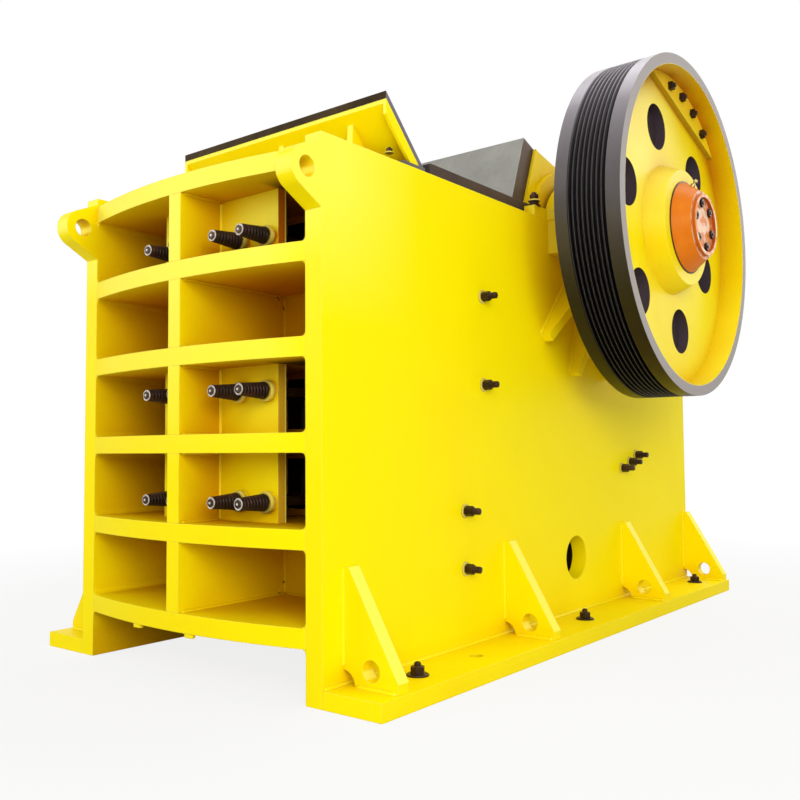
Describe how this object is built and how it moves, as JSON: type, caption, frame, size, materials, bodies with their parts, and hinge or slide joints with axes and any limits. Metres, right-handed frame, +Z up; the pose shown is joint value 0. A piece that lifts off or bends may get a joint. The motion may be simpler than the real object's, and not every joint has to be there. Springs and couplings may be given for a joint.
{
  "type": "jaw crusher",
  "caption": "Single-toggle jaw crusher with a ribbed plate frame, sloping feed guards, swing jaw, eccentric shaft, grooved sheave and flywheel.",
  "frame": {"origin": "floor level at the middle of the machine's outline", "axes": "+Z up, +Y from the ribbed front to the rear, +X along the shaft to the grooved sheave"},
  "size_m": [2.648, 3.435, 2.723],
  "materials": {
    "frame_paint": "gloss machine enamel over plate",
    "wheel_paint": "gloss enamel on the web, dark machined rim",
    "jaw_steel": "as-cast manganese steel",
    "guard_steel": "dark rolled wear plate",
    "hub_paint": "gloss orange enamel",
    "bolt_steel": "blackened, oily",
    "shaft_steel": "turned"
  },
  "bodies": {
    "frame": {"base_flange_left": "frame_paint", "base_flange_right": "frame_paint", "base_gussets_left": "frame_paint", "base_gussets_right": "frame_paint", "beam_guides_left": "frame_paint", "beam_guides_right": "frame_paint", "bearing_base_left": "frame_paint", "bearing_base_right": "frame_paint", "bearing_cap_left": "frame_paint", "bearing_cap_right": "frame_paint", "bearing_cover_left": "frame_paint", "bearing_cover_right": "frame_paint", "bearing_ribs_left": "frame_paint", "bearing_ribs_right": "frame_paint", "centre_ribs": "frame_paint", "clamp_plates": "frame_paint", "feed_guard": "guard_steel", "feed_guard_frame": "frame_paint", "fixed_jaw": "jaw_steel", "front_rib_1": "frame_paint", "front_rib_2": "frame_paint", "front_rib_3": "frame_paint", "front_rib_4": "frame_paint", "front_rib_5": "frame_paint", "front_rib_6": "frame_paint", "front_wall": "frame_paint", "jaw_bolts": "bolt_steel", "lower_cheek_left": "jaw_steel", "lower_cheek_right": "jaw_steel", "rear_ribs": "frame_paint", "rear_tie": "frame_paint", "rear_toggle_seat": "shaft_steel", "rear_wall": "frame_paint", "shim_pack": "shaft_steel", "side_plate_left": "frame_paint", "side_plate_right": "frame_paint", "tension_rods": "bolt_steel", "tension_springs": "bolt_steel", "toggle_beam": "frame_paint", "toggle_plate": "frame_paint", "upper_cheek_left": "jaw_steel", "upper_cheek_right": "jaw_steel"},
    "swing_jaw": {"front_toggle_seat": "shaft_steel", "jaw_guard": "guard_steel", "swing_jaw": "frame_paint", "swing_jaw_liner": "jaw_steel"},
    "rotor": {"counterweight_left": "wheel_paint", "counterweight_right": "wheel_paint", "flywheel": "wheel_paint", "hub_cover_left": "hub_paint", "hub_cover_right": "hub_paint", "shaft": "shaft_steel", "sheave": "wheel_paint"}
  },
  "joints": [
    {"name": "shaft_spin", "type": "hinge", "parent": "frame", "child": "rotor", "pos_m": [0, 0.4255, 1.913], "axis": [1, 0, 0], "continuous": true},
    {"name": "jaw_swing", "type": "hinge", "parent": "frame", "child": "swing_jaw", "pos_m": [0, -0.2825, 0.49], "axis": [1, 0, 0], "range_deg": [-0.65, 0.65]}
  ]
}
